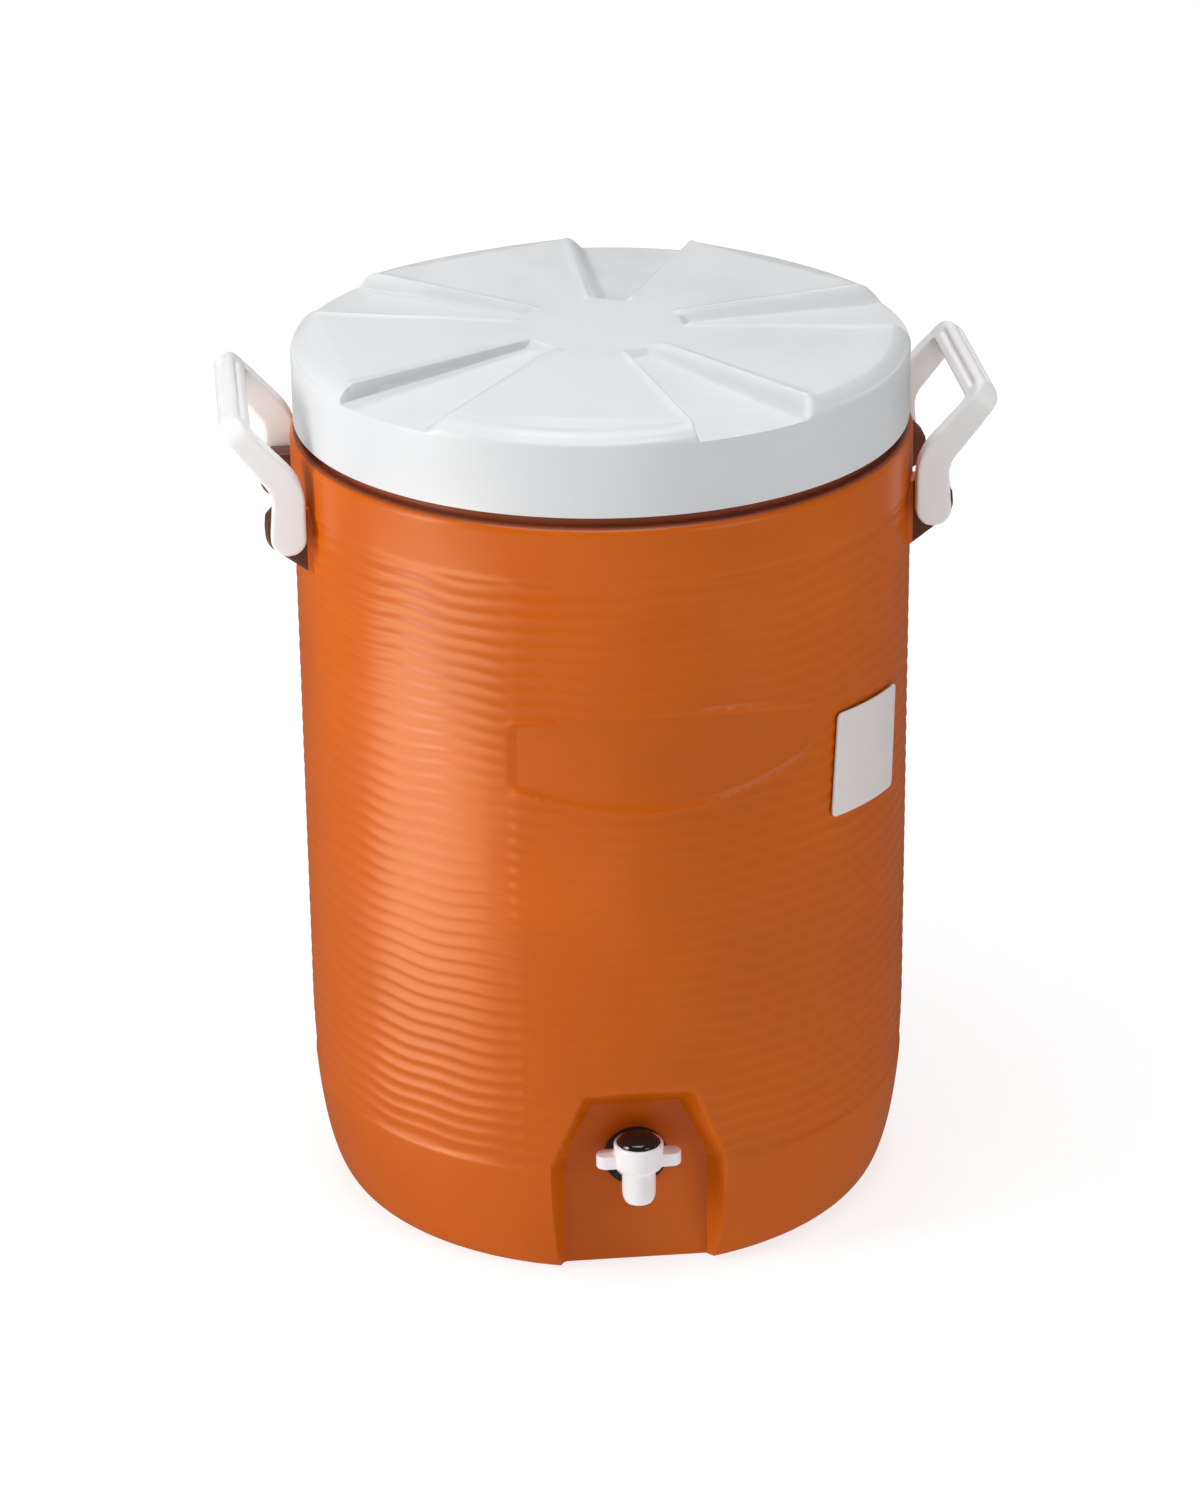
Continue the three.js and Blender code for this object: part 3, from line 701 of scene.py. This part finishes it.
def build_label():
    """Thin plate that follows the wall, with rounded corners and a slight tilt."""
    middle, middle_z, tilt = math.radians(51.0), 269.0, math.radians(-4.0)
    width, height, corner, thick = 59.0, 56.0, 3.0, 1.2
    columns, rows = 40, 24
    inner = JUG_RADIUS + 0.1
    front, back = [], []
    for j in range(rows + 1):
        for i in range(columns + 1):
            u, v = (i / columns - 0.5) * width, (j / rows - 0.5) * height
            pull_u = max(abs(u) - (width / 2 - corner), 0.0)
            pull_v = max(abs(v) - (height / 2 - corner), 0.0)
            far = math.hypot(pull_u, pull_v)
            if far > corner:
                u -= math.copysign(pull_u * (1 - corner / far), u)
                v -= math.copysign(pull_v * (1 - corner / far), v)
            rim = max(far - corner + 0.6, 0.0)
            along = u * math.cos(tilt) - v * math.sin(tilt)
            up = u * math.sin(tilt) + v * math.cos(tilt)
            a = middle + along / JUG_RADIUS
            for points, r in ((front, inner + thick - 0.4 * min(rim, 0.6)), (back, inner)):
                points.append((r * math.sin(a), -r * math.cos(a), middle_z + up))
    wide = columns + 1
    count = len(front)
    faces = []
    for j in range(rows):
        for i in range(columns):
            a = j * wide + i
            faces.append([a, a + 1, a + wide + 1, a + wide])
            faces.append([count + a, count + a + wide, count + a + wide + 1, count + a + 1])
    edge = list(range(wide))
    edge += [j * wide + columns for j in range(1, rows + 1)]
    edge += [rows * wide + i for i in range(columns - 1, -1, -1)]
    edge += [j * wide for j in range(rows - 1, 0, -1)]
    for i, a in enumerate(edge):
        b = edge[(i + 1) % len(edge)]
        faces.append([a, b, count + b, count + a])
    plate = make_object("label", front + back, faces, 45.0)
    finish_piece(plate, "jug", LABEL, "label_white", "label_plate")


# ---------------------------------------------------------------- lid
def lid_height(radius, direction):
    """Heights of the lid's top and of the floor of its grips, how far a grip is sunk there from 0 to 1,
    and the angle from the nearest grip's middle."""
    fall = (LID_CROWN - LID_RIM) * ease((radius - LID_FLAT) / (LID_RADIUS - LID_ROUND - LID_FLAT))
    top = LID_CROWN - BEAD_HEIGHT - fall + BEAD_HEIGHT * fall / (LID_CROWN - LID_RIM)
    edge = np.clip((radius - (LID_RADIUS - LID_ROUND)) / LID_ROUND, 0.0, 1.0)
    top = top - (LID_RIM - LID_SHOULDER) * (1.0 - np.sqrt(1.0 - edge**2))
    degrees = np.degrees(direction)
    angle = (degrees - GRIP_FIRST + GRIP_PERIOD / 2) % GRIP_PERIOD - GRIP_PERIOD / 2
    low = radius * np.sin(np.radians(angle + GRIP_HALF))
    high = radius * np.sin(np.radians(GRIP_HALF - angle))
    reach = np.clip((radius - GRIP_INNER) / (LID_RADIUS - GRIP_INNER), 0.0, 1.0)
    depth = GRIP_DEPTH[0] + (GRIP_DEPTH[1] - GRIP_DEPTH[0]) * reach
    inner = ease((radius - GRIP_INNER + 3.0) / 6.0)
    sink = ease(low / 1.6 + 0.5) * ease(high / GRIP_SLOPE) * inner
    floor = LID_CROWN - depth - 1.2 * reach
    bead = sum(np.exp(-(((side + BEAD_AWAY) / BEAD_WIDTH) ** 2)) for side in (low, high))
    top = np.minimum(top + BEAD_HEIGHT * bead * inner * (1.0 - edge), LID_CROWN)
    return top, floor, sink, angle


def bevel_drop(radius, angle):
    """How far the outer edge of a raised sector slopes down, along a straight front."""
    sector = (angle % GRIP_PERIOD) - GRIP_PERIOD / 2
    half = GRIP_PERIOD / 2 - GRIP_HALF
    ahead = radius * np.cos(np.radians(sector))
    start = BEVEL_RADIUS * math.cos(math.radians(half)) + BEVEL_INSET
    return BEVEL_SLOPE * np.clip(ahead - start, 0.0, None)


def lid_columns():
    """Directions of the lid's columns, closest together at the steep side of each grip."""
    low, high = GRIP_FIRST - GRIP_HALF, GRIP_FIRST + GRIP_HALF
    one = np.concatenate(
        [
            low + np.array([-1.2, -0.8, -0.5, -0.25, 0.0, 0.25, 0.5, 0.8, 1.2]),
            np.arange(low + 2.0, high + 0.9, 0.6),
            np.arange(high + 1.4, low + GRIP_PERIOD - 1.5, 1.2),
        ]
    )
    return np.radians(np.concatenate([one + GRIP_PERIOD * k for k in range(GRIP_COUNT)]))


def build_lid():
    direction = lid_columns()
    radii = np.concatenate(
        [
            np.array([0.0, 10.0, 20.0, 28.0, 34.0]),
            np.arange(38.0, 52.0, 1.0),
            np.arange(52.0, 132.0, 2.0),
            np.arange(132.0, 148.0, 1.2),
        ]
    )
    turn = np.linspace(0.0, math.pi / 2, 15)
    radii = np.concatenate([radii, LID_RADIUS - LID_ROUND + LID_ROUND * np.sin(turn)])
    rows = []
    for radius in radii:
        top, floor, sink, angle = lid_height(radius, direction)
        rim = np.clip((radius - (LID_RADIUS - BEVEL_END)) / BEVEL_END, 0.0, 1.0)
        top = top - bevel_drop(radius, angle) * (1.0 - rim)
        z = top - np.maximum(top - floor, 0.0) * sink
        rows.append((radius * np.ones_like(direction), z))
    flat = np.ones_like(direction)
    skirt = [(LID_RADIUS, LID_SHOULDER - 1.0), (LID_RADIUS, LID_BOTTOM)]
    skirt += [(LID_INNER, LID_BOTTOM), (LID_INNER, LID_SHOULDER - 5.0)]
    for radius, z in fillet(skirt, [0, 1.2, 0.8, 0], 4):
        rows.append((radius * flat, z * flat))
    for radius in (150.0, 140.0, 120.0, 90.0, 60.0, 45.0, 30.0, 0.0):
        top, floor, sink, _ = lid_height(radius, direction)
        z = top - np.maximum(top - floor, 0.0) * sink
        inside = z - LID_WALL if radius else flat * (LID_CROWN - LID_WALL)
        rows.append((radius * flat, inside))
    lid = wrap("lid_top", rows, direction)
    finish_piece(lid, "lid", LID_WHITE_SHADED, "white_plastic", "lid_cover")


def build_lid_pan():
    flange = LINER_TOP + 3.4
    inner, top = PLUG_RADIUS - PAN_WALL, flange + PAN_WALL
    profile = [(0, PLUG_BOTTOM), (PLUG_RADIUS, PLUG_BOTTOM), (PLUG_RADIUS, flange)]
    profile += [(NECK_RADIUS, flange), (NECK_RADIUS, top), (inner, top)]
    profile += [(inner, PLUG_BOTTOM + PAN_WALL), (0, PLUG_BOTTOM + PAN_WALL)]
    pan = lathe("lid_plug", fillet(profile, [0, 4, 1.0, 0.8, 0.8, 1, 2, 0]), 144, sharp=45.0)
    finish_piece(pan, "lid", LID_WHITE_SHADED, "white_plastic", "lid_pan")


def build_lid_gasket():
    low, high = LINER_TOP + 0.3, LINER_TOP + 3.1
    profile = [(139.5, low), (147, low), (147, high), (132, high), (132, low), (139.5, low)]
    ring = lathe("lid_seal_ring", fillet(profile, 1.0, 4)[:-1], 144, closed=True)
    finish_piece(ring, "lid_seal", RUBBER, "black_rubber", "lid_gasket")


# ---------------------------------------------------------------- handles
def leg_outline():
    """Outline in the XZ plane of a leg from its round end at the pivot to the bend and beyond."""
    top = tuple(Vector(BEND).lerp(Vector(GRIP), 0.8))
    centre = fillet([PIVOT, BEND, top], 9.0, 6)
    left, right = [], []
    for i, (x, z) in enumerate(centre):
        before = Vector(centre[max(i - 1, 0)])
        after = Vector(centre[min(i + 1, len(centre) - 1)])
        along = (after - before).normalized()
        half = float(np.interp(z, (PIVOT[1], BEND[1], GRIP[1]), LEG_HALVES))
        left.append((x - along.y * half, z + along.x * half))
        right.append((x + along.y * half, z - along.x * half))
    start = math.atan2(left[0][1] - PIVOT[1], left[0][0] - PIVOT[0])
    turn = [start + math.pi * k / 14 for k in range(1, 14)]
    round_end = LEG_HALVES[0]
    tip = [(PIVOT[0] + round_end * math.cos(a), PIVOT[1] + round_end * math.sin(a)) for a in turn]
    return left[::-1] + tip + right


def rounded_corner(corner, inward, radius):
    """Quarter circle that replaces a corner; inward points from it to the circle's middle."""
    steps = 6
    cu, cv = corner[0] + inward[0] * radius, corner[1] + inward[1] * radius
    start = math.atan2(0.0, -inward[0])
    end = math.atan2(-inward[1], 0.0)
    sweep = (end - start + math.pi) % (2 * math.pi) - math.pi
    return [
        (cu + radius * math.cos(start + sweep * k / steps), cv + radius * math.sin(start + sweep * k / steps))
        for k in range(steps + 1)
    ]


def build_handle(name, node, body, side):
    """Bail handle: two legs, and above their bends one flat bow whose cross bar is the grip."""
    lean = math.atan2(GRIP[1] - BEND[1], GRIP[0] - BEND[0])
    along = Vector((math.cos(lean), 0.0, math.sin(lean)))
    across = Vector((-math.sin(lean), 0.0, math.cos(lean)))
    origin = Vector((GRIP[0], 0.0, GRIP[1]))

    def bow(u, v, w):
        point = origin + along * u + across * w
        return (point.x, v, point.z)

    def bar(u, w, v):
        return bow(u, v, w)

    outer, inner = HANDLE_OUTER, HANDLE_INNER
    outside, inside = BOW_CORNERS
    foot = -35.0  # where the bow runs out inside the legs
    outline = [(foot, -outer)]
    outline += rounded_corner((BAR, -outer), (-1, 1), outside)[::-1]
    outline += rounded_corner((BAR, outer), (-1, -1), outside)
    outline += [(foot, outer), (foot, inner)]
    outline += rounded_corner((-BAR, inner), (-1, -1), inside)[::-1]
    outline += rounded_corner((-BAR, -inner), (-1, 1), inside)
    outline += [(foot, -inner)]
    handle = slab(name, outline, -BAR, BAR, bow)
    section = [(foot - 5, -BAR)]
    section += rounded_corner((BAR, -BAR), (-1, 1), BAR_CORNER)[::-1]
    section += rounded_corner((BAR, BAR), (-1, -1), BAR_CORNER)
    section += [(foot - 5, BAR)]
    combine(handle, [slab("section", section, -outer - 1, outer + 1, bar)], "INTERSECT")
    parts = []
    for end in (-1, 1):
        low, high = sorted((end * inner, end * outer))
        parts.append(slab("leg", leg_outline(), low, high, along_y))
        low, high = sorted((end * PIN_END, end * (inner + 1)))
        parts.append(slab("pin", circle(PIVOT, PIN_RADIUS, 28), low, high, along_y))
    combine(handle, parts)
    grooves = []
    for u, w in ((BAR, 0.0), (0.0, BAR), (-BAR, 0.0), (0.0, -BAR)):
        box = [(u + i * GROOVE_HALF, w + k * GROOVE_HALF) for i, k in ((-1, -1), (1, -1), (1, 1), (-1, 1))]
        grooves.append(slab("groove", box, -GROOVE_END, GROOVE_END, bar))
    combine(handle, grooves, "DIFFERENCE")
    soften(handle, voxel=0.9, rounds=5)
    if side < 0:
        handle.data.transform(Matrix.Rotation(math.pi, 4, "Z"))
    finish_piece(handle, body, HANDLE_WHITE_LIT, "white_plastic", node)


# ---------------------------------------------------------------- tap
def upright(name, radius, low, high, segments=48):
    """Cylinder on the axis of the tap's spout."""
    return lathe(name, rod(radius, low, high), segments, (0.0, TAP_Y))


def build_tap():
    """Tap in one solid: head with a cup for the button, wings, spout, flange and hollow shank."""
    r = HEAD_RADIUS
    head = [(0, 62.0), (SPOUT_RADIUS, 62.0), (r - 0.6, 64.6), (r, 66.0), (r, HEAD_TOP - 0.6)]
    head += [(r - 0.7, HEAD_TOP), (0, HEAD_TOP)]
    body = lathe("tap", fillet(head, 0.8, 3), 64, (0.0, TAP_Y))
    spout = [(0, SPOUT_BOTTOM), (SPOUT_BORE, SPOUT_BOTTOM), (SPOUT_RADIUS, 47.5), (SPOUT_RADIUS, 64.0)]
    others = [lathe("spout", fillet(spout + [(0, 64.0)], 3.0, 5), 56, (0.0, TAP_Y))]
    turn = np.linspace(-math.pi / 2, math.pi / 2, 13)
    wing = [(WING_END + WING_ROUND * math.cos(a), TAP_Y + WING_ROUND * math.sin(a)) for a in turn]
    wing += [(-x, 2 * TAP_Y - y) for x, y in wing]
    others.append(slab("wings", wing, *WING_HEIGHTS, along_z))
    flange = [(0, -140), (11.0, -140), (12, -139), (12, -137.4), (0, -137.4)]
    others.append(lying_lathe("flange", flange))
    shank = [(0, TAP_Y), (SHANK_RADIUS, TAP_Y), (SHANK_RADIUS, -109), (SHANK_RADIUS - 1, -108), (0, -108)]
    others.append(lying_lathe("shank", shank))
    combine(body, others)
    bores = [
        upright("bore", SPOUT_BORE, SPOUT_BOTTOM - 3, 54.0),
        upright("seat", 5.0, 53.0, 57.0),
        upright("chamber", 7.5, 56.5, 66.5),
        upright("cup", CUP_RADIUS, CUP_FLOOR, HEAD_TOP + 2),
        lying_lathe("bore", rod(5.5, TAP_Y, -100)),
    ]
    combine(body, bores, "DIFFERENCE")
    soften(body, voxel=0.4, rounds=3)
    finish_piece(body, "jug", TAP_WHITE, "tap_white", "tap_body")


def build_button():
    """Cap with a domed top, a skirt round its edge and a socket for the valve stem."""
    r, rim = BUTTON_RADIUS, HEAD_TOP - 0.1
    turn = np.linspace(0, math.pi / 2, 10)
    dome = [(r * math.cos(a), rim + BUTTON_DOME * math.sin(a)) for a in turn]
    profile = [(0, 77.6), (r - 2, 77.6), (r - 2, 76.8), (r, 76.8)] + dome[:-1] + [(0, rim + BUTTON_DOME)]
    button = lathe("button_cap", profile, 56, (0.0, TAP_Y))
    combine(button, [upright("socket", 1.9, 76.0, 80.0, 24)], "DIFFERENCE")
    smooth(button, 40.0)
    finish_piece(button, "button", BLACK, "black_plastic", "push_button")


def build_tap_gasket():
    inner, outer, front, back = HOLE_RADIUS, 16.5, -137.0, -134.3
    profile = [(inner, back), (outer, back), (outer, front), (inner, front), (inner, back)]
    ring = lying_lathe("tap_seal_ring", fillet(profile, 0.6, 3)[:-1], closed=True)
    finish_piece(ring, "jug", RUBBER, "black_rubber", "tap_gasket")


def build_spring():
    """Round wire wound between the bonnet's floor and the button."""
    wire, mean, turns, low, high = 0.45, 5.0, 4, 68.25, 76.85
    steps, sides = 36, 8
    points = []
    for i in range(turns * steps + 1):
        a = 2 * math.pi * i / steps
        z = low + (high - low) * i / (turns * steps)
        for k in range(sides):
            b = 2 * math.pi * k / sides
            r = mean + wire * math.cos(b)
            points.append((r * math.cos(a), TAP_Y + r * math.sin(a), z + wire * math.sin(b)))
    faces = []
    for i in range(turns * steps):
        for k in range(sides):
            a, b = i * sides + k, i * sides + (k + 1) % sides
            faces.append([a, b, b + sides, a + sides])
    faces.append(list(range(sides)))
    faces.append(list(range(len(points) - sides, len(points))))
    spring = make_object("spring", points, faces, 60.0)
    finish_piece(spring, "jug", STEEL, "spring_steel", "return_spring")
    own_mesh(spring)


# ---------------------------------------------------------------- carried-over CAD nodes
def dress_hidden_nodes():
    looks = {
        "foam_insulation": FOAM,
        "lid_foam": FOAM,
        "foam_plug": ORANGE,
        "tap_washer": RUBBER,
        "tap_nut": TAP_WHITE,
        "tap_bonnet": TAP_WHITE,
        "valve_stem": TAP_WHITE,
        "valve_seal": RUBBER,
    }
    for node, material in looks.items():
        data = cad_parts[node].data
        data.materials.clear()
        data.materials.append(material)


# ---------------------------------------------------------------- floor, light and camera
def build_floor():
    half, z = 30000.0, -0.05  # just below the foot of the jug
    corners = [(-half, -half, z), (half, -half, z), (half, half, z), (-half, half, z)]
    floor = make_object("floor", corners, [[0, 1, 2, 3]])
    floor.data.materials.append(floor_material())
    floor.visible_glossy = False


def area_light(name, position, target, size, power, colour=(1.0, 1.0, 1.0)):
    data = bpy.data.lights.new(name, "AREA")
    data.shape = "RECTANGLE"
    data.size, data.size_y = size
    data.energy = power
    data.color = colour
    light = bpy.data.objects.new(name, data)
    bpy.context.scene.collection.objects.link(light)
    light.location = position
    light.rotation_euler = (Vector(target) - Vector(position)).to_track_quat("-Z", "Y").to_euler()
    return light


def build_lights():
    world = bpy.data.worlds.new("studio")
    world.use_nodes = True
    background = world.node_tree.nodes["Background"]
    background.inputs["Color"].default_value = (1.0, 1.0, 1.0, 1.0)
    background.inputs["Strength"].default_value = 0.12
    bpy.context.scene.world = world
    middle = (0.0, 0.0, 0.25)
    area_light("key", (-1.32, -0.46, 0.60), middle, (0.30, 1.15), 12.0)
    area_light("fill", (1.5, -1.7, 0.9), middle, (1.0, 1.0), 8.0)
    area_light("top", (-0.1, -0.2, 2.4), (0.0, 0.0, 0.4), (1.4, 1.4), 33.0)
    area_light("back", (0.1, 1.9, 1.75), (0.0, 0.0, 0.46), (1.6, 0.5), 10.0)
    # A low warm panel that is only seen in reflections, for the band of light down the left of the wall.
    wall = (-0.10, -0.123, 0.15)
    sheen = area_light("sheen", (-0.31, -0.18, 0.15), wall, (0.25, 0.30), 1.15, (1.0, 0.93, 0.68))
    sheen.visible_diffuse = False
    sheen.visible_camera = False


def build_camera():
    """Camera at the viewing angle of the reference: slightly left of the front and above."""
    azimuth, elevation = math.radians(-5.7), math.radians(23.88)
    distance, roll = 2.422, math.radians(-0.66)
    right = Vector((math.cos(azimuth), math.sin(azimuth), 0.0))
    target = right * -0.0026 + Vector((0.0, 0.0, 0.2321))
    back = Vector(
        (
            math.sin(azimuth) * math.cos(elevation),
            -math.cos(azimuth) * math.cos(elevation),
            math.sin(elevation),
        )
    )
    data = bpy.data.cameras.new("camera")
    data.lens = 109.68
    data.sensor_width = 36.0
    data.clip_end = 200.0
    camera = bpy.data.objects.new("camera", data)
    bpy.context.scene.collection.objects.link(camera)
    turn = back.to_track_quat("Z", "Y").to_matrix() @ Matrix.Rotation(roll, 3, "Z")
    camera.matrix_world = Matrix.Translation(target + back * distance) @ turn.to_4x4()
    bpy.context.scene.camera = camera


build_shell()
build_liner()
build_label()
build_lid()
build_lid_pan()
build_lid_gasket()
build_handle("handle_bail_right", "handle_right", "right_handle", 1)
build_handle("handle_bail_left", "handle_left", "left_handle", -1)
build_tap()
build_button()
build_tap_gasket()
build_spring()
dress_hidden_nodes()
build_floor()
build_lights()
build_camera()
bpy.context.scene.view_settings.view_transform = "Standard"
